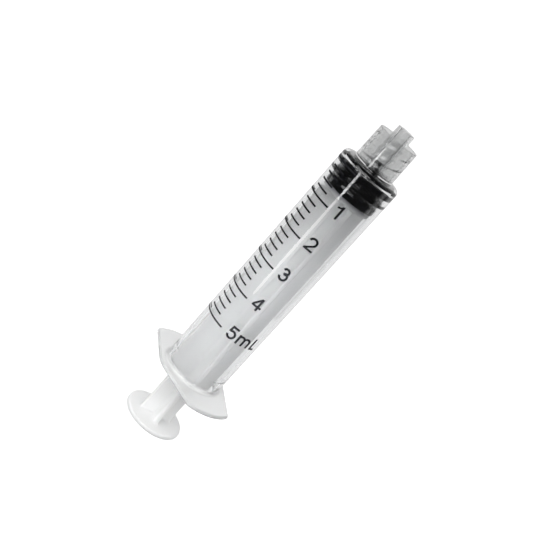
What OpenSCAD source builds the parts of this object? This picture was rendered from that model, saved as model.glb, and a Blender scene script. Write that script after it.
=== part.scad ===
// A 5 mL luer-lock dosing syringe, standing on its thumb rest with the nozzle up.
// Origin: the centre of the thumb rest's underside. +Z: the nozzle. The printed scale faces -Y.

/* [Barrel] */
// Outside radius of the barrel tube
barrel_r = 7.0; // [6.5:0.05:7.5]
// Inside radius of the barrel tube
bore_r = 6.15; // [6.0:0.05:6.3]
// Height of the finger flange's upper face above the thumb rest's underside
flange_top_z = 14.95; // [14.5:0.05:16]
// Thickness of the finger flange
flange_t = 0.9; // [0.8:0.1:1.2]
// Half of the finger flange's length, from the axis to the tip of a wing
flange_half_len = 13.4; // [12.5:0.1:15]
// Radius of the flange's round middle
flange_mid_r = 8.7; // [8.2:0.1:9.5]
// Angle by which each straight side of the flange closes towards its tip, in degrees
flange_taper = 16; // [12:1:20]
// Radius of the arc that ends each wing
flange_end_r = 12; // [10:0.5:13]
// Radius that rounds a wing's corners
flange_corner_r = 0.9; // [0.5:0.1:1.5]
// Height of the retaining ring inside the mouth, at its middle
ring_z = 18.0; // [17.5:0.1:19]
// How far the retaining ring stands out of the bore
ring_h = 0.08; // [0.05:0.01:0.2]

/* [Nozzle] */
// Height of the lower edge of the barrel's rounded shoulder
shoulder_z = 72.9; // [72.6:0.1:73.2]
// Radius of the rounded shoulder
shoulder_r = 0.95; // [0.5:0.05:1.2]
// Thickness of the end wall between the barrel and the lock collar
end_wall = 0.7; // [0.6:0.05:0.75]
// Height of the lock collar's open end
collar_top_z = 81.7; // [81:0.1:82]
// Outside radius of the collar at its open end
collar_top_r = 4.65; // [4.5:0.05:4.8]
// Outside radius of the collar at its foot
collar_foot_r = 4.78; // [4.7:0.02:4.9]
// Inside radius of the collar between its threads
collar_bore_r = 4.0; // [3.95:0.05:4.1]
// Inside radius of the thread's crest
thread_crest_r = 3.55; // [3.5:0.05:3.7]
// Height of the luer tip's open end
tip_top_z = 83.9; // [83:0.1:84.5]
// Radius of the luer tip at its open end
tip_top_r = 1.98; // [1.96:0.01:2.0]
// Growth of the tip's radius for each millimetre towards the barrel, the 6 % luer taper
tip_taper = 0.03; // [0.03:0.001:0.031]
// Radius of the fluid channel through the tip
channel_r = 1.1; // [0.8:0.05:1.2]

/* [Plunger] */
// Radius of the thumb rest
thumb_r = 7.1; // [6.8:0.1:7.5]
// Thickness of the thumb rest
thumb_t = 1.1; // [1:0.1:1.4]
// Distance from the axis to the edge of a rib inside the barrel
rib_r = 5.85; // [5.6:0.05:5.9]
// Distance from the axis to the edge of a rib at the neck behind the thumb rest
neck_r = 3.74; // [3.4:0.02:4]
// Thickness of a rib
rib_t = 1.1; // [0.9:0.1:1.4]
// Height at which the neck meets the full ribs
neck_top_z = 13.0; // [12:0.5:13.5]
// Turn of the ribs about the axis, in degrees from the scale's side
rib_turn = 70; // [0:1:89]
// Radius of the disc that pushes the gasket
disc_r = 5.7; // [5.4:0.05:5.8]
// Thickness of that disc
disc_t = 1.1; // [0.9:0.1:1.4]
// Radius of the rod's stem inside the gasket
stem_r = 1.9; // [1.7:0.1:2.1]
// Radius of the snap head inside the gasket
head_r = 3.1; // [2.8:0.1:3.3]

/* [Gasket] */
// Height of the gasket's flat rear face
gasket_z = 66.9; // [66.7:0.1:67]
// Radial clearance between a sealing rib and the bore, as a running fit
seal_gap = 0.03; // [0.02:0.01:0.08]
// Radius of the gasket's waist between its ribs
waist_r = 5.8; // [5.4:0.05:5.9]
// Radius of the gasket's rear skirt
skirt_r = 6.05; // [5.8:0.01:6.08]
// Clearance all round the snap head and its stem
snap_gap = 0.05; // [0.03:0.01:0.1]

/* [Scale] */
// Height of the 5 mL mark
mark_5_z = 29.86; // [29.5:0.01:30.5]
// Length of barrel that holds one millilitre
ml_len = 8.416; // [8.4:0.001:8.45]
// Height of a printed line
line_t = 0.38; // [0.25:0.01:0.45]
// Thickness of the ink
ink_t = 0.02; // [0.01:0.005:0.03]
// Bearing to which a long mark reaches on the numerals' side, in degrees from the scale's middle
long_near_arc = 34.5; // [30:0.5:40]
// Bearing to which a long mark reaches on the other side
long_far_arc = 43; // [30:0.5:50]
// Half of the arc that a short mark covers, in degrees
short_half_arc = 17.4; // [14:0.1:20]
// Height of a numeral
numeral_h = 3.1; // [2.5:0.1:3.5]
// Width of a numeral
numeral_w = 2.2; // [1.8:0.1:2.6]
// Width of a numeral's stroke
stroke = 0.5; // [0.35:0.01:0.6]
// Bearing of the numerals' middle, in degrees from the scale's middle
numeral_arc = 55; // [50:0.5:60]
// Bearing of the letter m
m_arc = 81; // [78:0.5:86]
// Bearing of the letter L
l_arc = 106; // [100:0.5:112]

/* [Hidden] */
$fn = 96;

eps = 0.01;
flange_z = flange_top_z - flange_t;
foot_fillet = 0.8;
mouth_chamfer = 0.4;
wall_end_z = shoulder_z + shoulder_r;
collar_foot_z = wall_end_z + 0.15;
collar_floor_z = collar_foot_z + 0.3;
inner_end_z = collar_floor_z - end_wall;
bore_end_z = gasket_z + 5.75;
bore_end_cut = 0.25;
tip_foot_r = tip_top_r + tip_taper * (tip_top_z - collar_floor_z);
thread_pitch = 2.5;
thread_starts = 2;
thread_lead = thread_pitch * thread_starts;
thread_w = 0.8;
thread_segments = 12;
thread_turns = 1;
thread_foot = 1.4;
thread_lap = 1;
thread_root_r = collar_bore_r + 0.2;
disc_z = gasket_z - disc_t;
cavity_floor_z = gasket_z + 1.3;
head_top_z = cavity_floor_z + 1.75;
head_top_share = 0.6;
gasket_tip_z = gasket_z + 6.5;
gasket_tip_r = 1.6;
nose_foot_r = channel_r - seal_gap;
nose_top_r = 0.7;
nose_top_z = gasket_tip_z + 2.3;
rib_seal_r = bore_r - seal_gap;
numeral_rise = 0.72;
max_ml = 5;
marks_per_ml = 5;
first_short_mark = 1;
face_reach = 3;

// ---- shared shapes ------------------------------------------------------------

// Quarter-round outline that fills a corner at the origin, hollow side away from it
module fillet_corner(r) {
  difference() {
    square([r, r]);
    translate([r, r]) circle(r, $fn = 48);
  }
}

// Wedge of the plane from bearing a to bearing b, measured from -Y towards +X
module bearing_wedge(a, b, reach) {
  steps = 4;
  polygon(concat([[0, 0]],
    [for (i = [0:steps]) let (t = a + (b - a) * i / steps) [reach * sin(t), -reach * cos(t)]]));
}

// Thin skin on the barrel's outside face between two heights
module ink_band(z, h) {
  translate([0, 0, z]) difference() {
    cylinder(r = barrel_r + ink_t, h = h, $fn = 180);
    translate([0, 0, -eps]) cylinder(r = barrel_r, h = h + 2 * eps, $fn = 180);
  }
}

// One printed line round the barrel's face, centred on height z, between two bearings
module scale_line(z, from_arc, to_arc) {
  intersection() {
    ink_band(z - line_t / 2, line_t);
    translate([0, 0, z - line_t])
      linear_extrude(2 * line_t) bearing_wedge(from_arc, to_arc, 2 * barrel_r);
  }
}

// Lays a flat figure, drawn in x and y about its own middle, on the barrel at a bearing and height
module printed(bearing, z) {
  intersection() {
    ink_band(z - numeral_h, 2 * numeral_h);
    rotate([0, 0, bearing]) translate([0, -barrel_r - 1, z])
      rotate([90, 0, 0]) mirror([0, 0, 1]) linear_extrude(face_reach) children();
  }
}

// Upright or level bar of a numeral, from its lower left corner
module bar(x, y, w, h) {
  translate([x, y]) square([w, h]);
}

// Part of a round stroke, centred at x and y, from angle a to angle b, anticlockwise from +x
module bow(x, y, r, a, b) {
  steps = 8;
  translate([x, y]) intersection() {
    difference() {
      circle(r + stroke / 2, $fn = 48);
      circle(r - stroke / 2, $fn = 48);
    }
    polygon(concat([[0, 0]],
      [for (i = [0:steps]) let (t = a + (b - a) * i / steps) 3 * r * [cos(t), sin(t)]]));
  }
}

// ---- barrel -------------------------------------------------------------------

// Points along an arc, both ends included
function arc(centre, r, from, to, steps) =
  [for (i = [0:steps]) let (t = from + (to - from) * i / steps) centre + r * [cos(t), sin(t)]];

// Plan of the finger flange: a round middle, straight sides, round corners and an arc at each end
module flange_plan() {
  side = [sin(flange_taper), cos(flange_taper)];
  along = [cos(flange_taper), -sin(flange_taper)];
  end_centre = [flange_half_len - flange_end_r, 0];
  inset = flange_mid_r - flange_corner_r;
  reach = end_centre.x * along.x
    + sqrt(pow(flange_end_r - flange_corner_r, 2) - pow(inset - end_centre.x * side.x, 2));
  corner = inset * side + reach * along;
  end_angle = atan2(corner.y, corner.x - end_centre.x);
  side_angle = 90 - flange_taper;
  quarter = concat(
    arc(end_centre, flange_end_r, 0, end_angle, 6),
    arc(corner, flange_corner_r, end_angle + 15, side_angle, 3),
    arc([0, 0], flange_mid_r, side_angle, 90, 4)
  );
  n = len(quarter);
  half = concat(quarter, [for (i = [n - 2:-1:0]) [-quarter[i].x, quarter[i].y]]);
  m = len(half);
  polygon(concat(half, [for (i = [m - 2:-1:1]) [half[i].x, -half[i].y]]));
}

// Half section of the barrel moulding's outer skin, without the flange's wings
module barrel_outline() {
  polygon([
    [0, flange_z],
    [barrel_r, flange_z],
    [barrel_r, shoulder_z],
    [barrel_r - shoulder_r, shoulder_z],
    [barrel_r - shoulder_r, wall_end_z],
    [collar_foot_r, collar_foot_z],
    [collar_top_r, collar_top_z],
    [0, collar_top_z]
  ]);
  translate([barrel_r - shoulder_r, shoulder_z]) circle(shoulder_r, $fn = 64);
  translate([barrel_r - eps, flange_top_z]) fillet_corner(foot_fillet);
}

// Half section of the space inside the barrel, from the mouth to the fluid channel
module barrel_space() {
  polygon([
    [0, flange_z - 1],
    [bore_r + mouth_chamfer, flange_z - 1],
    [bore_r + mouth_chamfer, flange_z],
    [bore_r, flange_z + mouth_chamfer],
    [bore_r, ring_z - 2 * ring_h],
    [bore_r - ring_h, ring_z - ring_h],
    [bore_r - ring_h, ring_z + ring_h],
    [bore_r, ring_z + 2 * ring_h],
    [bore_r, bore_end_z],
    [bore_r - bore_end_cut, bore_end_z + bore_end_cut],
    [channel_r, inner_end_z],
    [channel_r, tip_top_z + 1],
    [0, tip_top_z + 1]
  ]);
}

// One start of the lock thread, a rib wound up inside the collar
module thread_start(turn) {
  step = 360 * thread_turns / thread_segments;
  rise = thread_lead * thread_turns / thread_segments;
  for (i = [0:thread_segments - 1])
    rotate([0, 0, turn + i * step])
      translate([0, 0, collar_floor_z + thread_foot + i * rise])
        rotate_extrude(angle = step + thread_lap)
          translate([thread_crest_r, -thread_w / 2]) square([thread_root_r - thread_crest_r, thread_w]);
}

module barrel() {
  color([0.86, 0.88, 0.88, 0.45]) {
    difference() {
      union() {
        rotate_extrude() barrel_outline();
        translate([0, 0, flange_z]) linear_extrude(flange_t) flange_plan();
      }
      translate([0, 0, collar_floor_z])
        cylinder(r = collar_bore_r, h = collar_top_z - collar_floor_z + 1);
      rotate_extrude() barrel_space();
    }
    difference() {
      translate([0, 0, collar_floor_z - eps])
        cylinder(r1 = tip_foot_r, r2 = tip_top_r, h = tip_top_z - collar_floor_z + eps);
      translate([0, 0, collar_floor_z - 1]) cylinder(r = channel_r, h = tip_top_z);
    }
    for (k = [0:thread_starts - 1]) thread_start(360 * k / thread_starts);
  }
}

// ---- plunger ------------------------------------------------------------------

// Outline of one pair of ribs, edge to edge, seen from the side
module rib_pair() {
  shoulder_h = rib_r - neck_r;
  polygon([
    [-neck_r, thumb_t - eps],
    [neck_r, thumb_t - eps],
    [neck_r, neck_top_z - shoulder_h],
    [rib_r, neck_top_z],
    [rib_r, disc_z + eps],
    [-rib_r, disc_z + eps],
    [-rib_r, neck_top_z],
    [-neck_r, neck_top_z - shoulder_h]
  ]);
}

module plunger_rod() {
  thumb_edge_r = 0.4;
  head_rise = head_top_z - cavity_floor_z;
  color([0.93, 0.94, 0.93]) {
    rotate_extrude() {
      square([thumb_r - thumb_edge_r, thumb_t]);
      translate([0, thumb_edge_r]) square([thumb_r, thumb_t - 2 * thumb_edge_r]);
      for (z = [thumb_edge_r, thumb_t - thumb_edge_r])
        translate([thumb_r - thumb_edge_r, z]) circle(thumb_edge_r, $fn = 32);
    }
    rotate([0, 0, rib_turn]) for (turn = [0, 90])
      rotate([0, 0, turn]) translate([0, rib_t / 2, 0])
        rotate([90, 0, 0]) linear_extrude(rib_t) rib_pair();
    translate([0, 0, disc_z]) cylinder(r = disc_r, h = disc_t);
    translate([0, 0, gasket_z - eps])
      cylinder(r = stem_r, h = cavity_floor_z - gasket_z + 2 * eps + snap_gap);
    translate([0, 0, cavity_floor_z + snap_gap])
      cylinder(r1 = head_r, r2 = head_r * head_top_share, h = head_rise - 2 * snap_gap);
  }
}

// ---- gasket -------------------------------------------------------------------

// Half section of the gasket's outside: skirt, two sealing ribs, a blunt cone and its nose
module gasket_outline() {
  edge = 0.15;
  slope = 0.45;
  skirt_top_z = gasket_z + 1.3;
  rear_rib = [gasket_z + 2.55, gasket_z + 2.95];
  front_rib = [gasket_z + 4.6, gasket_z + 5.5];
  cone_foot_r = rib_seal_r - 0.4;
  cone_foot_z = gasket_z + 5.85;
  polygon([
    [0, gasket_z],
    [skirt_r - edge, gasket_z],
    [skirt_r, gasket_z + edge],
    [skirt_r, skirt_top_z],
    [waist_r, skirt_top_z + slope],
    [waist_r, rear_rib[0] - slope],
    [rib_seal_r, rear_rib[0]],
    [rib_seal_r, rear_rib[1]],
    [waist_r, rear_rib[1] + slope],
    [waist_r, front_rib[0] - slope],
    [rib_seal_r, front_rib[0]],
    [rib_seal_r, front_rib[1]],
    [cone_foot_r, cone_foot_z],
    [gasket_tip_r, gasket_tip_z],
    [nose_foot_r, gasket_tip_z],
    [nose_foot_r, collar_floor_z],
    [nose_top_r, nose_top_z],
    [0, nose_top_z]
  ]);
}

module gasket() {
  head_rise = head_top_z - cavity_floor_z;
  color([0.08, 0.08, 0.09]) difference() {
    rotate_extrude() gasket_outline();
    translate([0, 0, gasket_z - 1])
      cylinder(r = stem_r + snap_gap, h = cavity_floor_z - gasket_z + 1 + eps);
    translate([0, 0, cavity_floor_z])
      cylinder(r1 = head_r + snap_gap, r2 = head_r * head_top_share + snap_gap, h = head_rise);
  }
}

// ---- printed scale ------------------------------------------------------------

// Height of the mark for a volume in millilitres
function mark_z(ml) = mark_5_z + (max_ml - ml) * ml_len;

module long_marks() {
  color([0.1, 0.1, 0.11]) for (ml = [0:max_ml]) scale_line(mark_z(ml), -long_far_arc, long_near_arc);
}

module short_marks() {
  color([0.1, 0.1, 0.11])
    for (ml = [0:max_ml - 1])
      for (i = [first_short_mark:marks_per_ml - 1])
        scale_line(mark_z(ml + i / marks_per_ml), -short_half_arc, short_half_arc);
}

module numeral_1() {
  post_x = -0.25;
  color([0.1, 0.1, 0.11]) printed(numeral_arc, mark_z(1) + numeral_rise) {
    bar(post_x, -numeral_h / 2, stroke, numeral_h);
    polygon([
      [post_x + 0.1, numeral_h / 2], [post_x + 0.1, numeral_h / 2 - 0.6],
      [post_x - 0.3, 0.7], [post_x - 0.85, 0.6], [post_x - 0.85, 0.95], [post_x - 0.2, 1.15]
    ]);
  }
}

module numeral_2() {
  bow_r = 0.83;
  bow_y = numeral_h / 2 - bow_r - stroke / 2;
  color([0.1, 0.1, 0.11]) printed(numeral_arc, mark_z(2) + numeral_rise) {
    bow(0, bow_y, bow_r, -35, 170);
    polygon([
      [0.5, bow_y - 0.35], [0.86, bow_y - 0.6],
      [-0.4, 0.35 - numeral_h / 2], [-numeral_w / 2, 0.35 - numeral_h / 2]
    ]);
    bar(-numeral_w / 2, -numeral_h / 2, numeral_w, stroke * 0.9);
  }
}

module numeral_3() {
  top_r = 0.64;
  foot_r = 0.8;
  color([0.1, 0.1, 0.11]) printed(numeral_arc, mark_z(3) + numeral_rise) {
    bow(-0.08, numeral_h / 2 - top_r - stroke / 2, top_r, -90, 165);
    bow(0, foot_r + stroke / 2 - numeral_h / 2, foot_r, -168, 95);
    bar(-0.4, -stroke * 0.2, 0.5, stroke * 0.95);
  }
}

module numeral_4() {
  post_x = 0.12;
  bar_y = -0.85;
  color([0.1, 0.1, 0.11]) printed(numeral_arc, mark_z(4) + numeral_rise) {
    bar(post_x, -numeral_h / 2, stroke, numeral_h);
    bar(-numeral_w / 2, bar_y, numeral_w, stroke * 0.9);
    polygon([
      [-numeral_w / 2, bar_y], [-numeral_w / 2, bar_y + 0.5],
      [post_x, numeral_h / 2], [post_x + stroke, numeral_h / 2], [post_x + 0.1, numeral_h / 2 - 0.7],
      [0.4 - numeral_w / 2, bar_y + 0.3]
    ]);
  }
}

module numeral_5() {
  bowl_r = 0.83;
  color([0.1, 0.1, 0.11]) printed(numeral_arc, mark_z(5) + numeral_rise) {
    bow(0, bowl_r + stroke / 2 - numeral_h / 2, bowl_r, -165, 140);
    bar(-0.75, numeral_h / 2 - stroke, 1.65, stroke);
    polygon([
      [-0.75, numeral_h / 2], [-0.3, numeral_h / 2], [-0.42, 0.1], [-0.95, -0.05]
    ]);
  }
}

// The letters m and L, for millilitres, to the right of the 5
module unit_ml() {
  m_h = 2.35;
  m_half = 1.6;
  arch_r = 0.7;
  l_h = 3.0;
  l_w = 1.5;
  base = -numeral_h / 2;
  color([0.1, 0.1, 0.11]) {
    printed(m_arc, mark_z(5) + numeral_rise) {
      bar(-m_half, base, stroke, m_h);
      for (post_x = [0, m_half - stroke / 2]) {
        bar(post_x - stroke / 2, base, stroke, m_h - arch_r);
        bow(post_x - arch_r, base + m_h - arch_r - stroke / 2, arch_r, 0, 150);
      }
    }
    printed(l_arc, mark_z(5) + numeral_rise) {
      bar(-l_w / 2, base, stroke, l_h);
      bar(-l_w / 2, base, l_w, stroke * 0.9);
    }
  }
}

barrel();
plunger_rod();
gasket();
long_marks();
short_marks();
numeral_1();
numeral_2();
numeral_3();
numeral_4();
numeral_5();
unit_ml();
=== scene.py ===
"""Looks of a 5 mL dosing syringe with a lock collar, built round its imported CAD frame.

Lengths in this file are millimetres, in the frame's own axes, until a mesh is made.
The syringe stands on its thumb rest, +Z runs to the nozzle and the scale faces -Y.
"""

import math

import bpy
import numpy as np
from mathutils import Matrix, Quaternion, Vector


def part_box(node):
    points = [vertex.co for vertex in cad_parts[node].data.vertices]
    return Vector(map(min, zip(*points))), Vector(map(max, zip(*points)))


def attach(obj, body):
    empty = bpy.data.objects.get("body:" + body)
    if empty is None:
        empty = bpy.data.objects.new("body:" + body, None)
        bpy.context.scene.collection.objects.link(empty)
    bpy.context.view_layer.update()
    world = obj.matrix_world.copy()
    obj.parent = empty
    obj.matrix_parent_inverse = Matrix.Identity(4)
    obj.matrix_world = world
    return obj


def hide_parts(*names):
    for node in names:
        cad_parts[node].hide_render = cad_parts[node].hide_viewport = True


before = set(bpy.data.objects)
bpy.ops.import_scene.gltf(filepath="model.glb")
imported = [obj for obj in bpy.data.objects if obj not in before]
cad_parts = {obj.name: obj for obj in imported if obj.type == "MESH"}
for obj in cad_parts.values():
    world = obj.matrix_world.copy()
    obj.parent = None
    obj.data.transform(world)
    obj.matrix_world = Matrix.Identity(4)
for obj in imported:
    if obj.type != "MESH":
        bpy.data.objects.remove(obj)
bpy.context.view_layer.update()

MM = 0.001
TURN = 2 * math.pi


def box_mm(node):
    """Lowest and highest corner of a CAD node, in millimetres."""
    low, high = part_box(node)
    return low / MM, high / MM


# ---- sizes ---------------------------------------------------------------------

BARREL_LOW, BARREL_HIGH = box_mm("barrel")
_, ROD_HIGH = box_mm("plunger_rod")
GASKET_LOW, GASKET_HIGH = box_mm("gasket")
LONG_LOW, LONG_HIGH = box_mm("long_marks")

# Overlap of touching parts, clearance of fitted ones, and how close a ring holds an edge.
HAIR = 0.02
FIT_GAP = 0.05
HOLD = 0.1

# The barrel, with its flange, shoulder, lock collar and nozzle.
BARREL_R = 7.0
BARREL_STEPS = 320
BORE_R = 6.15
BORE_MOUTH_R = BORE_R + 0.25
BORE_MOUTH_H = 0.4
FLANGE_Z = BARREL_LOW.z
FLANGE_TOP_Z = FLANGE_Z + 0.9
FLANGE_HALF_LEN = BARREL_HIGH.x
FLANGE_MID_R = BARREL_HIGH.y
FLANGE_TAPER = math.radians(16)
FLANGE_END_R = 12.0
FLANGE_CORNER_R = 0.9
RING_Z = 18.0
RING_H = 0.04
RING_SLOPE = 0.5
SHOULDER_Z = 72.9
SHOULDER_R = 0.95
COLLAR_FOOT_Z = SHOULDER_Z + SHOULDER_R + 0.15
COLLAR_FLOOR_Z = COLLAR_FOOT_Z + 0.3
COLLAR_TOP_Z = 81.7
COLLAR_TOP_R = 4.65
COLLAR_FOOT_R = 4.78
COLLAR_BORE_R = 4.0
TIP_TOP_Z = BARREL_HIGH.z
TIP_TOP_R = 1.98
TIP_TAPER = 0.03
CHANNEL_R = 1.1
BORE_END_Z = GASKET_LOW.z + 5.75

# The thread in the collar; its crest's widths are shares of the pitch, from the crest's middle.
THREAD_LEAD = 5.0
THREAD_STARTS = 2
THREAD_DEPTH = 0.18
THREAD_FOOT_H = 0.5
THREAD_MOUTH_H = 0.25
THREAD_RUN_IN = 1.2
THREAD_RUN_OUT = 0.9
CREST_HALF = 0.06
CREST_FOOT_HALF = 0.40

# The plunger rod, from its thumb rest up.
THUMB_R = ROD_HIGH.x
THUMB_T = 1.1
THUMB_EDGE_R = 0.42
NECK_R = 3.74
NECK_FILLET_R = 0.45
NECK_TOP_Z = 13.0
RIB_R = 5.85
RIB_T = 1.1
RIB_TIP_R = 0.3
RIB_INNER_R = 0.35
RIB_FILLET_R = 0.3
RIB_TURN = math.radians(70)
DISC_R = 5.7
DISC_T = 1.1
DISC_EDGE_R = 0.15
STEM_R = 1.9
HEAD_R = 3.1
HEAD_H = 1.35
HEAD_TOP_R = HEAD_R * 0.6

# The gasket; its lands, grooves and hollow are heights above its foot. It is turned about an
# axis that its section stops just short of, which leaves a pinhole.
SEAL_R = BORE_R + HAIR
SKIRT_R = 6.05
SKIRT_H = 1.3
WAIST_R = 5.8
LOW_GROOVE = (1.65, 2.0)
LOW_LAND = (2.45, 3.05)
HIGH_GROOVE = (3.5, 3.95)
HIGH_LAND = (4.4, 5.5)
GROOVE_EDGE_R = 0.25
LAND_EDGE_R = 0.12
PINHOLE_R = 0.012
HOLLOW_H = 1.3
GASKET_NOSE_R = 5.7
GASKET_NOSE_Z = GASKET_LOW.z + 5.9
GASKET_TIP_R = 1.6
GASKET_TIP_Z = GASKET_LOW.z + 6.5
GASKET_STEPS = 192
NOSE_FOOT_R = CHANNEL_R + HAIR
NOSE_TOP_R = 0.7

# The printed scale.
INK_T = 0.02
LINE_T = 0.38
LINE_BENDS = 33
SCALE_ML = 5
MARKS_PER_ML = 5
ML_LEN = (LONG_HIGH.z - LONG_LOW.z - LINE_T) / SCALE_ML
LONG_ARC = (math.radians(-43), math.radians(34.5))
SHORT_ARC = (math.radians(-17.4), math.radians(17.4))


# ---- outlines ------------------------------------------------------------------


def rounded(corners, arc_steps=5, hold=0.06):
    """Points of a closed outline of (x, y, radius, splits), with its corners rounded.

    Each straight run gets a point close to both its ends, so that shading stays flat on it,
    and splits more in between."""
    count = len(corners)
    at = [np.array(c[:2], float) for c in corners]
    starts, ends, arcs = [], [], []
    for i, corner in enumerate(corners):
        back = at[i - 1] - at[i]
        ahead = at[(i + 1) % count] - at[i]
        back_len, ahead_len = np.linalg.norm(back), np.linalg.norm(ahead)
        back, ahead = back / back_len, ahead / ahead_len
        inner = math.acos(max(-1.0, min(1.0, float(back @ ahead))))
        cut = corner[2] / math.tan(inner / 2)
        start, end = at[i] + back * cut, at[i] + ahead * cut
        inward = (back + ahead) / np.linalg.norm(back + ahead)
        middle = at[i] + inward * corner[2] / math.sin(inner / 2)
        a = math.atan2(*(start - middle)[::-1])
        sweep = math.remainder(math.atan2(*(end - middle)[::-1]) - a, TURN)
        arc = [
            middle + corner[2] * np.array([math.cos(t), math.sin(t)])
            for t in np.linspace(a, a + sweep, arc_steps + 1)
        ]
        starts.append(start)
        ends.append(end)
        arcs.append(arc)
    points = []
    for i, corner in enumerate(corners):
        points += arcs[i]
        a, b = ends[i], starts[(i + 1) % count]
        length = np.linalg.norm(b - a)
        near = min(hold / length, 0.3)
        splits = corner[3] if len(corner) > 3 else 0
        shares = [near]
        shares += [near + (1 - 2 * near) * (k + 1) / (splits + 1) for k in range(splits)]
        shares += [1 - near]
        points += [a + (b - a) * share for share in shares]
    return np.array(points)


def flange_reach(bearing):
    """Distance from the axis to the flange's edge, in the direction with that angle from +X."""
    x, y = abs(math.cos(bearing)), abs(math.sin(bearing))
    side = np.array([math.sin(FLANGE_TAPER), math.cos(FLANGE_TAPER)])
    along = np.array([side[1], -side[0]])
    end_x = FLANGE_HALF_LEN - FLANGE_END_R
    inset = FLANGE_MID_R - FLANGE_CORNER_R
    reach = FLANGE_END_R - FLANGE_CORNER_R
    run = end_x * along[0] + math.sqrt(reach**2 - (inset - end_x * side[0]) ** 2)
    corner = inset * side + run * along

    def circle(cx, cy, r):
        ahead = x * cx + y * cy
        inside = ahead * ahead - cx * cx - cy * cy + r * r
        return ahead + math.sqrt(inside) if inside > 0 else 0.0

    if math.atan2(x, y) <= FLANGE_TAPER:
        return FLANGE_MID_R
    touch = corner + FLANGE_CORNER_R * side
    if math.atan2(y, x) >= math.atan2(touch[1], touch[0]):
        return FLANGE_MID_R / (x * side[0] + y * side[1])
    away = corner - np.array([end_x, 0])
    touch = corner + FLANGE_CORNER_R * away / np.linalg.norm(away)
    if math.atan2(y, x) >= math.atan2(touch[1], touch[0]):
        return circle(corner[0], corner[1], FLANGE_CORNER_R)
    return circle(end_x, 0, FLANGE_END_R)


def barrel_outline(reach):
    """Half section of the barrel, anticlockwise from the mouth, where the flange reaches that far.

    The bore's end presses a hair into the gasket's face and stands clear of its corner."""
    tip_foot_r = TIP_TOP_R + TIP_TAPER * (TIP_TOP_Z - COLLAR_FLOOR_Z)
    seat_z = GASKET_TIP_Z - HAIR
    return rounded([
        (BORE_MOUTH_R, FLANGE_Z, 0.12),
        (reach, FLANGE_Z, 0.3),
        (reach, FLANGE_TOP_Z, 0.4),
        (BARREL_R, FLANGE_TOP_Z, 0.8),
        (BARREL_R, SHOULDER_Z + SHOULDER_R, SHOULDER_R, 1),
        (COLLAR_FOOT_R, COLLAR_FOOT_Z, 0.22),
        (COLLAR_TOP_R, COLLAR_TOP_Z, 0.12),
        (COLLAR_BORE_R, COLLAR_TOP_Z, 0.15, 72),
        (COLLAR_BORE_R, COLLAR_FLOOR_Z, 0.3),
        (tip_foot_r, COLLAR_FLOOR_Z, 0.3),
        (TIP_TOP_R, TIP_TOP_Z, 0.14),
        (CHANNEL_R, TIP_TOP_Z, 0.12),
        (CHANNEL_R, seat_z, 0.1),
        (GASKET_TIP_R, seat_z, 0.2),
        (GASKET_NOSE_R - 0.25, GASKET_NOSE_Z + 0.035 - HAIR, 0.1),
        (GASKET_NOSE_R + 0.1, GASKET_NOSE_Z + 0.12, 0.1),
        (BORE_R, BORE_END_Z, 0.3),
        (BORE_R, RING_Z + RING_SLOPE, 0.5),
        (BORE_R - RING_H, RING_Z, 0.5),
        (BORE_R, RING_Z - RING_SLOPE, 0.5),
        (BORE_R, FLANGE_Z + BORE_MOUTH_H, 0.5),
    ])


# ---- meshes --------------------------------------------------------------------


def skin(name, grid, ends="poles"):
    """Closed mesh over rings of points, grid[ring][step].

    ends is "loop" where the last ring joins the first, and "poles" where a point closes each end."""
    rings, steps = grid.shape[:2]
    points = grid.reshape(-1, 3)
    last = rings if ends == "loop" else rings - 1
    faces = [
        (
            a * steps + i,
            a * steps + (i + 1) % steps,
            (a + 1) % rings * steps + (i + 1) % steps,
            (a + 1) % rings * steps + i,
        )
        for a in range(last)
        for i in range(steps)
    ]
    if ends == "poles":
        low, high = len(points), len(points) + 1
        points = np.vstack([points, grid[0].mean(0), grid[-1].mean(0)])
        faces += [(low, (i + 1) % steps, i) for i in range(steps)]
        top = (rings - 1) * steps
        faces += [(high, top + i, top + (i + 1) % steps) for i in range(steps)]
    mesh = bpy.data.meshes.new(name)
    mesh.from_pydata((points * MM).tolist(), [], faces)
    mesh.polygons.foreach_set("use_smooth", [True] * len(mesh.polygons))
    mesh.update()
    return mesh_object(name, mesh)


def mesh_object(name, mesh):
    """A new object in the scene with that mesh."""
    piece = bpy.data.objects.new(name, mesh)
    bpy.context.scene.collection.objects.link(piece)
    return piece


def turned(outline, steps):
    """Rings of points of an outline (r, z) turned about the axis."""
    bearings = np.arange(steps) / steps * TURN
    r, z = outline[:, 0][:, None], outline[:, 1][:, None]
    return np.stack([r * np.cos(bearings), r * np.sin(bearings), z + 0 * bearings], -1)


# ---- node maths ----------------------------------------------------------------


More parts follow.
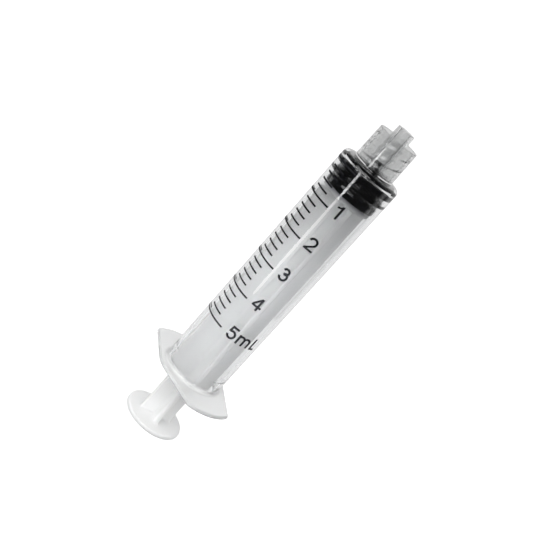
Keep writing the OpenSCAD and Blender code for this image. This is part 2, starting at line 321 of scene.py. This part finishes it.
class Value:
    """A number that flows through a node tree, so that sums are written as plain Python."""

    def __init__(self, tree, socket):
        self.tree, self.socket = tree, socket

    def maths(self, operation, *others):
        return node(self.tree, "ShaderNodeMath", {"operation": operation}, self, *others)

    def __add__(self, other):
        return self.maths("ADD", other)

    def __sub__(self, other):
        return self.maths("SUBTRACT", other)

    def __rsub__(self, other):
        return node(self.tree, "ShaderNodeMath", {"operation": "SUBTRACT"}, other, self)

    def __mul__(self, other):
        return self.maths("MULTIPLY", other)

    def __truediv__(self, other):
        return self.maths("DIVIDE", other)

    def __lt__(self, other):
        return self.maths("LESS_THAN", other)

    def __gt__(self, other):
        return self.maths("GREATER_THAN", other)

    __radd__ = __add__
    __rmul__ = __mul__

    def sin(self):
        return self.maths("SINE")

    def cos(self):
        return self.maths("COSINE")

    def fraction(self):
        return self.maths("FRACT")

    def size(self):
        return self.maths("ABSOLUTE")

    def root(self):
        return self.maths("SQRT")

    def ramp(self, low, high):
        """0 below low, 1 above high, and a smooth rise in between."""
        return node(
            self.tree,
            "ShaderNodeMapRange",
            {"interpolation_type": "SMOOTHSTEP"},
            Value=self,
            From_Min=low,
            From_Max=high,
        )


def node(tree, kind, settings=None, *inputs, output=0, **named):
    """Adds a node: its settings first, then the values or links of its sockets. Returns one output."""
    made = tree.nodes.new(kind)
    for key, value in (settings or {}).items():
        setattr(made, key, value)
    pairs = list(enumerate(inputs)) + [(key.replace("_", " "), value) for key, value in named.items()]
    for key, value in pairs:
        socket = made.inputs[key]
        if isinstance(value, Value):
            tree.links.new(value.socket, socket)
        else:
            socket.default_value = value
    return Value(tree, made.outputs[output])


def axes(tree, place, letters="XYZ"):
    """The coordinates of a place, as separate numbers."""
    return [node(tree, "ShaderNodeSeparateXYZ", None, place, output=letter) for letter in letters]


# ---- pieces by rule ------------------------------------------------------------


def rule_tree(name, sizes):
    """A Geometry Nodes tree with a mesh in and out and one named input for each size."""
    tree = bpy.data.node_groups.new(name, "GeometryNodeTree")
    tree.interface.new_socket("Geometry", in_out="INPUT", socket_type="NodeSocketGeometry")
    for size, kind in sizes.items():
        tree.interface.new_socket(size, in_out="INPUT", socket_type="NodeSocket" + kind)
    tree.interface.new_socket("Geometry", in_out="OUTPUT", socket_type="NodeSocketGeometry")
    entry = tree.nodes.new("NodeGroupInput")
    given = {socket.name: Value(tree, socket) for socket in entry.outputs if socket.name}
    return tree, given


def close_rule(tree, shape, material):
    """Ends a rule's tree: real meshes, with their material."""
    real = node(tree, "GeometryNodeRealizeInstances", None, shape)
    done = node(tree, "GeometryNodeSetMaterial", None, real, Material=material)
    leave = tree.nodes.new("NodeGroupOutput")
    tree.links.new(done.socket, leave.inputs[0])


def follow_rule(piece, tree, sizes):
    """Runs a rule's tree on a piece and keeps the result as its plain mesh."""
    modifier = piece.modifiers.new(tree.name, "NODES")
    modifier.node_group = tree
    names = {s.name: s.identifier for s in tree.interface.items_tree if s.in_out == "INPUT"}
    for size, value in sizes.items():
        modifier[names[size]] = value
    bpy.context.view_layer.update()
    depsgraph = bpy.context.evaluated_depsgraph_get()
    mesh = bpy.data.meshes.new_from_object(piece.evaluated_get(depsgraph))
    piece.modifiers.remove(modifier)
    piece.data = mesh
    mesh.name = piece.name
    return piece


def lock_thread_rule(material):
    """Raises a thread of several starts out of a bore's wall, between two heights."""
    sizes = ("Bore", "Depth", "Lead", "Starts", "Foot", "Mouth", "Run In", "Run Out")
    tree, size = rule_tree("lock_thread", dict.fromkeys(sizes, "Float"))
    x, y, z = axes(tree, node(tree, "GeometryNodeInputPosition"))
    radius = (x * x + y * y).root()
    bearing = y.maths("ARCTAN2", x) / TURN
    turn = ((z / size["Lead"] - bearing) * size["Starts"]).fraction()
    crest = 1 - (turn - 0.5).size().ramp(CREST_HALF, CREST_FOOT_HALF)
    wall = (radius - size["Bore"]).size() < HAIR * MM
    run_out = z.ramp(size["Mouth"] - size["Run Out"], size["Mouth"])
    ends = z.ramp(size["Foot"], size["Foot"] + size["Run In"]) * (1 - run_out)
    share = 1 - crest * wall * ends * size["Depth"] / radius
    moved = node(tree, "ShaderNodeCombineXYZ", None, x * share, y * share, z)
    shape = node(tree, "GeometryNodeSetPosition", None, size["Geometry"], Position=moved)
    close_rule(tree, shape, material)
    return tree


def scale_rule(material):
    """Groups of printed lines up a tube's face, each line bent round it."""
    tree, size = rule_tree(
        "printed_lines",
        {
            "Per Group": "Int",
            "Line Gap": "Float",
            "Groups": "Int",
            "Group Gap": "Float",
            "First": "Float",
            "From Arc": "Float",
            "To Arc": "Float",
            "Tube": "Float",
            "Ink": "Float",
            "Line": "Float",
        },
    )
    length = (size["To Arc"] - size["From Arc"]) * size["Tube"]
    block = node(tree, "ShaderNodeCombineXYZ", None, length, size["Ink"], size["Line"])
    line = node(tree, "GeometryNodeMeshCube", None, block, LINE_BENDS, 2, 2)
    gap = node(tree, "ShaderNodeCombineXYZ", None, 0, 0, size["Line Gap"])
    start = node(tree, "ShaderNodeCombineXYZ", None, 0, 0, size["First"])
    heights = node(
        tree,
        "GeometryNodeMeshLine",
        None,
        Count=size["Per Group"],
        Start_Location=start,
        Offset=gap,
    )
    group = node(tree, "GeometryNodeInstanceOnPoints", None, heights, Instance=line)
    step = node(tree, "ShaderNodeCombineXYZ", None, 0, 0, size["Group Gap"])
    groups = node(tree, "GeometryNodeMeshLine", None, Count=size["Groups"], Offset=step)
    lines = node(tree, "GeometryNodeInstanceOnPoints", None, groups, Instance=group)
    flat = node(tree, "GeometryNodeRealizeInstances", None, lines)
    x, y, z = axes(tree, node(tree, "GeometryNodeInputPosition"))
    bearing = x / size["Tube"] + (size["From Arc"] + size["To Arc"]) / 2
    radius = size["Tube"] + size["Ink"] / 2 - y
    across, back = radius * bearing.sin(), radius * bearing.cos() * -1
    bent = node(tree, "ShaderNodeCombineXYZ", None, across, back, z)
    shape = node(tree, "GeometryNodeSetPosition", None, flat, Position=bent)
    close_rule(tree, shape, material)
    return tree


def placed(name, body, stands_for):
    """Parents a piece to the empty of the body it rides on, and hides the CAD nodes it stands for."""
    piece = bpy.data.objects[name]
    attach(piece, body)
    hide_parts(*stands_for)


def cross_ring(half_width, thick, z):
    """Ring of points round the cruciform section of the rod's ribs."""
    corners = []
    for arm in range(4):
        d = np.array([math.cos(arm * TURN / 4), math.sin(arm * TURN / 4)])
        n = np.array([-d[1], d[0]])
        corners += [
            (*(half_width * d - thick / 2 * n), RIB_TIP_R, 1),
            (*(half_width * d + thick / 2 * n), RIB_TIP_R, 5),
            (*(thick / 2 * d + thick / 2 * n), RIB_INNER_R, 5),
        ]
    flat = rounded(corners)
    c, s = math.cos(RIB_TURN), math.sin(RIB_TURN)
    return np.column_stack([flat @ (c, -s), flat @ (s, c), np.full(len(flat), z)])


RING_POINTS = len(cross_ring(RIB_R, RIB_T, 0))
ARM_MIDDLE = 7


def disc(r, z):
    """Ring with as many points as the ribs' rings, and with one of them on the middle of an arm."""
    bearings = (np.arange(RING_POINTS) - ARM_MIDDLE) / RING_POINTS * TURN + RIB_TURN
    return np.column_stack([r * np.cos(bearings), r * np.sin(bearings), np.full(RING_POINTS, z)])


def bend(r, z, edge, start, end, steps=5):
    """Rings of a rounded edge whose arc has its middle at (r, z)."""
    turns = np.radians(np.linspace(start, end, steps))
    return [disc(r + edge * math.cos(t), z + edge * math.sin(t)) for t in turns]


def thumb_rest_rings():
    """The flat thumb rest with its rounded edge, from the middle of its underside."""
    r, edge = THUMB_R - THUMB_EDGE_R, THUMB_EDGE_R
    rings = [disc(inner, 0) for inner in (1.5, 4.5, r - HOLD)]
    rings += bend(r, edge, edge, -90, 0)
    rings += bend(r, THUMB_T - edge, edge, 0, 90)
    return rings + [disc(inner, THUMB_T) for inner in (r - HOLD, THUMB_R - 1.4)]


def neck_rings():
    """The narrow ribs, from a fillet on the thumb rest to the slope that widens them."""
    rings = []
    for t in np.radians(np.linspace(0, 90, 6)):
        spread = NECK_FILLET_R * (1 - math.sin(t))
        z = THUMB_T + NECK_FILLET_R * (1 - math.cos(t))
        rings.append(cross_ring(NECK_R + spread, RIB_T + 2 * spread, z))
    slope = RIB_R - NECK_R
    slope_z = NECK_TOP_Z - slope
    foot_z = THUMB_T + NECK_FILLET_R + HOLD
    rings += [cross_ring(NECK_R, RIB_T, z) for z in (foot_z, 5, 9, slope_z - 0.2)]
    for rise in (0.0, 0.15, 0.7, 1.4, slope - 0.15):
        rings.append(cross_ring(NECK_R + max(rise, 0.03), RIB_T, slope_z + rise))
    return rings


def rib_rings(disc_z):
    """The full ribs, up to a fillet under the disc."""
    rings = [cross_ring(RIB_R, RIB_T, NECK_TOP_Z + rise) for rise in (0.05, 0.3)]
    rings += [cross_ring(RIB_R, RIB_T, z) for z in np.linspace(NECK_TOP_Z + 4, disc_z - 4, 14)]
    rings.append(cross_ring(RIB_R, RIB_T, disc_z - RIB_FILLET_R - HOLD))
    for t in np.radians(np.linspace(0, 90, 4)):
        grow = RIB_FILLET_R * (1 - math.cos(t))
        z = disc_z - RIB_FILLET_R * (1 - math.sin(t))
        rings.append(cross_ring(min(RIB_R, DISC_R - 0.25), RIB_T + 2 * grow, z))
    return rings


def disc_rings(disc_z):
    """The disc under the gasket, narrowing to the stem on its top."""
    r, edge = DISC_R - DISC_EDGE_R, DISC_EDGE_R
    top_z = disc_z + DISC_T
    rings = [disc(DISC_R - 0.2, disc_z)]
    rings += bend(r, disc_z + edge, edge, -70, 0, 3)
    rings += bend(r, top_z - edge, edge, 0, 90, 4)
    return rings + [disc(inner, top_z) for inner in (DISC_R - 0.3, STEM_R + 0.2, STEM_R)]


def head_rings(head_z):
    """The stem's top and the snap head that the gasket is pushed over."""
    stem = [disc(STEM_R, head_z - HOLD), disc(STEM_R, head_z)]
    foot = [disc(HEAD_R - HOLD, head_z), disc(HEAD_R, head_z + HOLD)]
    top = [disc(HEAD_TOP_R, ROD_HIGH.z - 0.05), disc(HEAD_R * 0.55, ROD_HIGH.z)]
    return stem + foot + top


def rod_rings():
    """Rings of the plunger rod from the thumb rest's underside up to the snap head."""
    disc_z = GASKET_LOW.z - DISC_T
    rings = thumb_rest_rings() + neck_rings() + rib_rings(disc_z)
    return np.array(rings + disc_rings(disc_z) + head_rings(GASKET_LOW.z + HEAD_H))


def gasket_outline():
    """Half section of the gasket, anticlockwise from the foot of its hollow."""
    foot, nose_z = GASKET_LOW.z, GASKET_HIGH.z
    hollow_z = foot + HOLLOW_H
    outline = [
        (STEM_R + FIT_GAP, foot, 0.05),
        (SKIRT_R, foot, GROOVE_EDGE_R),
        (SKIRT_R, foot + SKIRT_H, 0.2),
    ]
    for radius, edge, heights in (
        (WAIST_R, GROOVE_EDGE_R, LOW_GROOVE),
        (SEAL_R, LAND_EDGE_R, LOW_LAND),
        (WAIST_R, GROOVE_EDGE_R, HIGH_GROOVE),
        (SEAL_R, LAND_EDGE_R, HIGH_LAND),
    ):
        outline += [(radius, foot + height, edge) for height in heights]
    outline += [
        (GASKET_NOSE_R, GASKET_NOSE_Z, 0.25),
        (GASKET_TIP_R, GASKET_TIP_Z, 0.2),
        (NOSE_FOOT_R, GASKET_TIP_Z, 0.1),
        (NOSE_FOOT_R, COLLAR_FLOOR_Z, 0.2),
        (NOSE_TOP_R, nose_z, 0.2),
        (PINHOLE_R, nose_z, 0.005),
        (PINHOLE_R, ROD_HIGH.z + FIT_GAP, 0.005),
        (HEAD_TOP_R + FIT_GAP, ROD_HIGH.z + FIT_GAP, 0.1),
        (HEAD_R + FIT_GAP, hollow_z, 0.1),
        (STEM_R + FIT_GAP, hollow_z, 0.05),
    ]
    return rounded(outline)


# ---- finishes ------------------------------------------------------------------

WHITE = (1, 1, 1, 1)
CLEAR_TINT = (0.975, 0.98, 0.985, 1)
COLLAR_TINT = (0.88, 0.885, 0.885, 1)
MILK_TINT = (0.82, 0.825, 0.825, 1)
ROD_TINT = (0.90, 0.91, 0.91, 1)
ROD_PALE_TINT = (0.94, 0.945, 0.94, 1)
# The next tint is painted shade, for the rod's disc under the black gasket.
ROD_PAINTED_SHADE_TINT = (0.28, 0.28, 0.30, 1)
RUBBER_TINT = (0.001, 0.001, 0.002, 1)
INK_TINT = (0.006, 0.006, 0.008, 1)
INK_WORN_TINT = (0.02, 0.02, 0.022, 1)
PLASTIC_IOR = 1.49

# Shares of milk in the clear barrel: everywhere, where the plastic flowed, beside the flange, in it.
CLEAR_HAZE, FLOW_HAZE, NEAR_FLANGE_HAZE, FLANGE_HAZE = 0.0005, 0.001, 0.08, 0.32
HAZE_REACH = 12


def finish_tree(name):
    """A new material's tree without nodes, and the place on the surface in millimetres."""
    material = bpy.data.materials.new(name)
    material.use_nodes = True
    tree = material.node_tree
    tree.nodes.clear()
    spot = node(tree, "ShaderNodeTexCoord", output=3)
    place = node(tree, "ShaderNodeVectorMath", {"operation": "SCALE"}, spot, Scale=1 / MM)
    return material, tree, place


def drawn_out(tree, place, share):
    """The place with its height cut down, so that a pattern on it runs along the axis."""
    return node(tree, "ShaderNodeVectorMath", {"operation": "MULTIPLY"}, place, (1, 1, share))


def noise(tree, place, scale, detail=3.0, roughness=0.5):
    """Soft noise over a place; scale is the number of its features in a millimetre."""
    return node(
        tree,
        "ShaderNodeTexNoise",
        None,
        place,
        Scale=scale,
        Detail=detail,
        Roughness=roughness,
    )


def blended(tree, share, colour, other):
    """Mix of two colours, each a plain colour or one that flows through the tree."""
    mix = node(tree, "ShaderNodeMix", {"data_type": "RGBA"}, share, output=2)
    for socket, value in zip(mix.socket.node.inputs[6:8], (colour, other)):
        if isinstance(value, Value):
            tree.links.new(value.socket, socket)
        else:
            socket.default_value = value
    return mix


def bumped(tree, height, reach, strength):
    """A bump as deep as reach, in millimetres, where height is 1."""
    return node(tree, "ShaderNodeBump", None, Strength=strength, Distance=reach * MM, Height=height)


def show(tree, surface):
    """Ends a material's tree with its surface."""
    leave = tree.nodes.new("ShaderNodeOutputMaterial")
    tree.links.new(surface.socket, leave.inputs["Surface"])


def clear_plastic():
    """Clear moulded polypropylene, clouded in the flange where it is thick."""
    material, tree, place = finish_tree("clear_barrel")
    (z,) = axes(tree, place, "Z")
    flow = noise(tree, drawn_out(tree, place, 0.12), 0.9)
    grain = noise(tree, place, 6.0, 4.0, 0.6)
    in_collar = z.ramp(COLLAR_FOOT_Z - 0.2, COLLAR_FOOT_Z + 0.2)
    normal = bumped(tree, flow + grain * 0.05, 0.02, 0.2)
    tint = blended(tree, in_collar, CLEAR_TINT, COLLAR_TINT)
    clear = node(
        tree,
        "ShaderNodeBsdfPrincipled",
        None,
        Base_Color=tint,
        Roughness=0.02 + flow * 0.03 + in_collar * 0.13,
        IOR=PLASTIC_IOR,
        Transmission_Weight=1.0,
        Coat_Weight=in_collar,
        Coat_Roughness=0.03,
        Normal=normal,
    )
    milk = node(
        tree,
        "ShaderNodeBsdfPrincipled",
        None,
        Base_Color=MILK_TINT,
        Roughness=0.3,
        IOR=PLASTIC_IOR,
        Normal=normal,
    )
    in_flange = 1 - z.ramp(FLANGE_TOP_Z - 0.2, FLANGE_TOP_Z + 1.5)
    near_flange = 1 - z.ramp(FLANGE_TOP_Z, FLANGE_TOP_Z + HAZE_REACH)
    haze = CLEAR_HAZE + flow * FLOW_HAZE + near_flange * NEAR_FLANGE_HAZE + in_flange * FLANGE_HAZE
    show(tree, node(tree, "ShaderNodeMixShader", None, haze, clear, milk))
    return material


def milky_plastic():
    """Natural polypropylene of the rod, which lets light through but no shapes.

    Just under the black gasket it carries painted shade, darkest where the gasket sits on it."""
    material, tree, place = finish_tree("milky_rod")
    flow = noise(tree, drawn_out(tree, place, 0.2), 0.5)
    grain = noise(tree, place, 9.0, 3.0, 0.6)
    (z,) = axes(tree, place, "Z")
    # Painted shade: the rod turns dark grey just under the black gasket, where its shadow falls.
    painted_shade_under_gasket = z.ramp(GASKET_LOW.z - 1.3 * DISC_T, GASKET_LOW.z)
    tint = blended(tree, flow, ROD_TINT, ROD_PALE_TINT)
    tint = blended(tree, painted_shade_under_gasket, tint, ROD_PAINTED_SHADE_TINT)
    surface = node(
        tree,
        "ShaderNodeBsdfPrincipled",
        None,
        Base_Color=tint,
        Roughness=0.36 + grain * 0.12,
        IOR=PLASTIC_IOR,
        Transmission_Weight=0.15,
        Subsurface_Weight=0.8,
        Subsurface_Radius=(1.0, 1.0, 1.0),
        Subsurface_Scale=4.5 * MM,
        Specular_IOR_Level=0.3,
        Normal=bumped(tree, flow + grain * 0.15, 0.05, 0.4),
    )
    show(tree, surface)
    return material


def rubber():
    """Black synthetic rubber with the sheen of its silicone oil."""
    material, tree, place = finish_tree("black_rubber")
    cloud = noise(tree, place, 1.1, 4.0, 0.6)
    grain = noise(tree, place, 14.0, 3.0, 0.6)
    surface = node(
        tree,
        "ShaderNodeBsdfPrincipled",
        None,
        Base_Color=RUBBER_TINT,
        Roughness=0.06 + cloud * 0.06,
        Specular_IOR_Level=0.8,
        Normal=bumped(tree, cloud * 0.4 + grain * 0.1, 0.03, 0.3),
    )
    show(tree, surface)
    return material


def ink():
    """Screen-printed ink, a little uneven."""
    material, tree, place = finish_tree("scale_ink")
    patches = noise(tree, place, 2.2, 4.0, 0.65)
    tint = blended(tree, patches.ramp(0.3, 0.75), INK_TINT, INK_WORN_TINT)
    surface = node(
        tree,
        "ShaderNodeBsdfPrincipled",
        None,
        Base_Color=tint,
        Roughness=0.5 + patches * 0.2,
        Specular_IOR_Level=0.05,
        Normal=bumped(tree, patches, 0.01, 0.4),
    )
    show(tree, surface)
    return material


# ---- the syringe ---------------------------------------------------------------

clear = clear_plastic()
milky = milky_plastic()
black = rubber()
scale_ink = ink()

bearings = np.arange(BARREL_STEPS) / BARREL_STEPS * TURN
halves = np.stack([barrel_outline(flange_reach(bearing)) for bearing in bearings], 1)
barrel_r, barrel_z = halves[..., 0], halves[..., 1]
barrel_grid = np.stack([barrel_r * np.cos(bearings), barrel_r * np.sin(bearings), barrel_z], -1)
follow_rule(
    skin("barrel_skin", barrel_grid, "loop"),
    lock_thread_rule(clear),
    {
        "Bore": COLLAR_BORE_R * MM,
        "Depth": THREAD_DEPTH * MM,
        "Lead": THREAD_LEAD * MM,
        "Starts": float(THREAD_STARTS),
        "Foot": (COLLAR_FLOOR_Z + THREAD_FOOT_H) * MM,
        "Mouth": (COLLAR_TOP_Z - THREAD_MOUTH_H) * MM,
        "Run In": THREAD_RUN_IN * MM,
        "Run Out": THREAD_RUN_OUT * MM,
    },
)
placed("barrel_skin", "barrel", ["barrel"])

rod = skin("plunger_rod_skin", rod_rings())
rod.data.materials.append(milky)
placed("plunger_rod_skin", "plunger_rod", ["plunger_rod"])

gasket = skin("gasket_skin", turned(gasket_outline(), GASKET_STEPS), "loop")
gasket.data.materials.append(black)
placed("gasket_skin", "gasket", ["gasket"])

printed_lines = scale_rule(scale_ink)
for name, cad_node, first_ml, per_group, groups, arc in (
    ("long_mark_ink", "long_marks", 0, 1, SCALE_ML + 1, LONG_ARC),
    ("short_mark_ink", "short_marks", 1 / MARKS_PER_ML, MARKS_PER_ML - 1, SCALE_ML, SHORT_ARC),
):
    follow_rule(
        mesh_object(name, bpy.data.meshes.new(name)),
        printed_lines,
        {
            "Per Group": per_group,
            "Line Gap": ML_LEN / MARKS_PER_ML * MM,
            "Groups": groups,
            "Group Gap": ML_LEN * MM,
            "First": (LONG_LOW.z + LINE_T / 2 + first_ml * ML_LEN) * MM,
            "From Arc": arc[0],
            "To Arc": arc[1],
            "Tube": BARREL_R * MM,
            "Ink": INK_T * MM,
            "Line": LINE_T * MM,
        },
    )
    placed(name, "barrel", [cad_node])

for cad_node in ("numeral_1", "numeral_2", "numeral_3", "numeral_4", "numeral_5", "unit_ml"):
    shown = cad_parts[cad_node]
    for slot in shown.material_slots:
        slot.link = "OBJECT"
        slot.material = scale_ink

# ---- table, light and camera ---------------------------------------------------

CAMERA_AZIMUTH = math.radians(48)
CAMERA_PLACE = (134.57, -121.16, 100.886)
CAMERA_AIM = (-0.39, -0.43, 43.875)
CAMERA_ROLL = math.radians(41.72)
LENS_MM, SENSOR_MM = 59.39, 36
NEAREST_SEEN_M = 0.01

# The floor lies low enough to leave room for the drawn plunger.
FLOOR_Z = -55
FLOOR_GREY, FLOOR_DARK = 0.3, 0.03
FLOOR_GLOW_SEEN, FLOOR_GLOW_BEHIND = 0.86, 0.50
FLOOR_BLEND = 30

# Brightness of the sky as seen, through the clear barrel and for scattered light. A mirrored sky
# is dark in front and rises behind, between two shares of a direction that point away.
SKY_SEEN, SKY_THROUGH, SKY_SCATTERED = 1.0, 0.75, 0.98
SKY_MIRRORED, SKY_MIRRORED_RISE = 0.03, 0.6
SKY_BLEND = (0.2, 0.7)

LIT_SIDE, SHADY_SIDE = math.radians(26), math.radians(70)
CARD_SIDE = math.radians(110)


def ray_kinds(tree):
    """Whether a ray comes straight from the camera, has been scattered, and has been mirrored."""
    kinds = ("Is Camera Ray", "Diffuse Depth", "Glossy Depth")
    seen, scatterings, mirrorings = (node(tree, "ShaderNodeLightPath", output=kind) for kind in kinds)
    return seen, scatterings > 0.5, mirrorings > 0.5


def floor_finish():
    """White paper; what it throws on the syringe comes from behind it, and little from in front."""
    material, tree, place = finish_tree("pale_floor")
    x, y = axes(tree, place, "XY")
    behind = y * math.cos(CAMERA_AZIMUTH) - x * math.sin(CAMERA_AZIMUTH)
    grain = noise(tree, place, 0.4, 3.0, 0.5)

    def paper(glow, grey=FLOOR_GREY):
        return node(
            tree,
            "ShaderNodeBsdfPrincipled",
            None,
            Base_Color=(grey, grey, grey, 1),
            Roughness=0.75 + grain * 0.1,
            Emission_Color=WHITE,
            Emission_Strength=glow,
        )

    seen, scattered, mirrored = ray_kinds(tree)
    bright = behind.ramp(-FLOOR_BLEND, FLOOR_BLEND).maths("MAXIMUM", (1 - scattered) * (1 - mirrored))
    dark, lit = paper(0.0, FLOOR_DARK), paper(FLOOR_GLOW_BEHIND)
    as_light = node(tree, "ShaderNodeMixShader", None, bright, dark, lit)
    show(tree, node(tree, "ShaderNodeMixShader", None, seen, as_light, paper(FLOOR_GLOW_SEEN)))
    return material


def towards(location, target, roll=0.0):
    """The turn that points a lamp or a camera at a target."""
    turn = (Vector(target) - Vector(location)).to_track_quat("-Z", "Y")
    return turn @ Quaternion((0, 0, 1), roll)


def sweep(reach, wall_z, bend_r):
    """Floor that bends up into a wall at the far side of the syringe, in the camera's direction.

    Its sizes are metres."""
    arc = np.radians(np.linspace(0, 90, 13))
    run = [(-reach, 0.0), (0.0, 0.0), (reach - bend_r, 0.0)]
    run += [(reach - bend_r + bend_r * math.sin(t), bend_r - bend_r * math.cos(t)) for t in arc[1:]]
    run += [(reach, wall_z)]
    away = np.array([-math.sin(CAMERA_AZIMUTH), math.cos(CAMERA_AZIMUTH)])
    side = np.array([away[1], -away[0]])
    points = [(*(away * d + side * w * reach), z) for d, z in run for w in (-1.0, 1.0)]
    faces = [(2 * i, 2 * i + 1, 2 * i + 3, 2 * i + 2) for i in range(len(run) - 1)]
    mesh = bpy.data.meshes.new("sweep")
    mesh.from_pydata(points, [], faces)
    mesh.polygons.foreach_set("use_smooth", [True] * len(mesh.polygons))
    mesh.materials.append(floor_finish())
    return mesh_object("sweep", mesh)


def sky():
    """White to the camera; bright where light is scattered, and dark in front for mirrored rays."""
    world = bpy.data.worlds.new("studio")
    bpy.context.scene.world = world
    world.use_nodes = True
    tree = world.node_tree
    seen, scattered, mirrored = ray_kinds(tree)
    east, north = axes(tree, node(tree, "ShaderNodeTexCoord"), "XY")
    behind = north * math.cos(CAMERA_AZIMUTH) - east * math.sin(CAMERA_AZIMUTH)
    reflected = behind.ramp(*SKY_BLEND) * SKY_MIRRORED_RISE + SKY_MIRRORED
    direct = mirrored * (reflected - SKY_THROUGH) + SKY_THROUGH + seen * (SKY_SEEN - SKY_THROUGH)
    glow = scattered * SKY_SCATTERED + (1 - scattered) * direct
    backdrop = tree.nodes["Background"]
    backdrop.inputs["Color"].default_value = WHITE
    tree.links.new(glow.socket, backdrop.inputs["Strength"])


def lamp(name, bearing, distance, z, aim_z, size, glow, spread=180, mirrored=False):
    """A rectangular lamp; glow is its brightness, where white paper in full light is 1."""
    light = bpy.data.lights.new(name, "AREA")
    light.shape = "RECTANGLE"
    light.size, light.size_y = size[0] * MM, size[1] * MM
    light.energy = glow * math.pi * light.size * light.size_y
    light.spread = math.radians(spread)
    made = bpy.data.objects.new(name, light)
    made.location = Vector((distance * math.sin(bearing), -distance * math.cos(bearing), z)) * MM
    made.rotation_mode = "QUATERNION"
    made.rotation_quaternion = towards(made.location, Vector((0, 0, aim_z)) * MM)
    made.visible_camera = False
    made.visible_glossy = mirrored
    bpy.context.scene.collection.objects.link(made)


def card(name, bearing, distance=110, width=30, height=160, grey=0.05):
    """An upright dark card that keeps light off one side."""
    a = np.array([math.sin(bearing), -math.cos(bearing)])
    side = np.array([-a[1], a[0]])
    edges = ((-width / 2, 0), (width / 2, 0), (width / 2, height), (-width / 2, height))
    corners = [(*(a * distance + side * w), z) for w, z in edges]
    mesh = bpy.data.meshes.new(name)
    mesh.from_pydata((np.array(corners) * MM).tolist(), [], [(0, 1, 2, 3)])
    material, tree, place = finish_tree(name)
    grain = noise(tree, place, 0.5)
    tint = blended(tree, grain, (*[grey * 0.9] * 3, 1), (*[grey * 1.1] * 3, 1))
    show(tree, node(tree, "ShaderNodeBsdfPrincipled", None, Base_Color=tint, Roughness=0.9))
    mesh.materials.append(material)
    made = mesh_object(name, mesh)
    made.visible_camera = False


floor = sweep(reach=1.6, wall_z=2.2, bend_r=0.5)
floor.location.z = FLOOR_Z * MM
sky()

lamp("strip", LIT_SIDE, distance=110, z=37, aim_z=37, size=(13, 66), glow=6.0, mirrored=True)
lamp("key", LIT_SIDE, distance=260, z=230, aim_z=40, size=(300, 300), glow=2.9, mirrored=True)
for name, bearing, glow in (("grid_left", LIT_SIDE, 2.8), ("grid_right", SHADY_SIDE, 1.0)):
    lamp(name, bearing, distance=55, z=36, aim_z=36, size=(50, 33), glow=glow, spread=22)
card("card_right", CAMERA_AZIMUTH + CARD_SIDE)
card("card_left", CAMERA_AZIMUTH - CARD_SIDE)

camera_data = bpy.data.cameras.new("camera")
camera_data.lens = LENS_MM
camera_data.sensor_width = SENSOR_MM
camera_data.clip_start = NEAREST_SEEN_M
camera = bpy.data.objects.new("camera", camera_data)
camera.location = Vector(CAMERA_PLACE) * MM
camera.rotation_mode = "QUATERNION"
camera.rotation_quaternion = towards(camera.location, Vector(CAMERA_AIM) * MM, CAMERA_ROLL)
bpy.context.scene.collection.objects.link(camera)
bpy.context.scene.camera = camera
bpy.context.scene.view_settings.view_transform = "Standard"
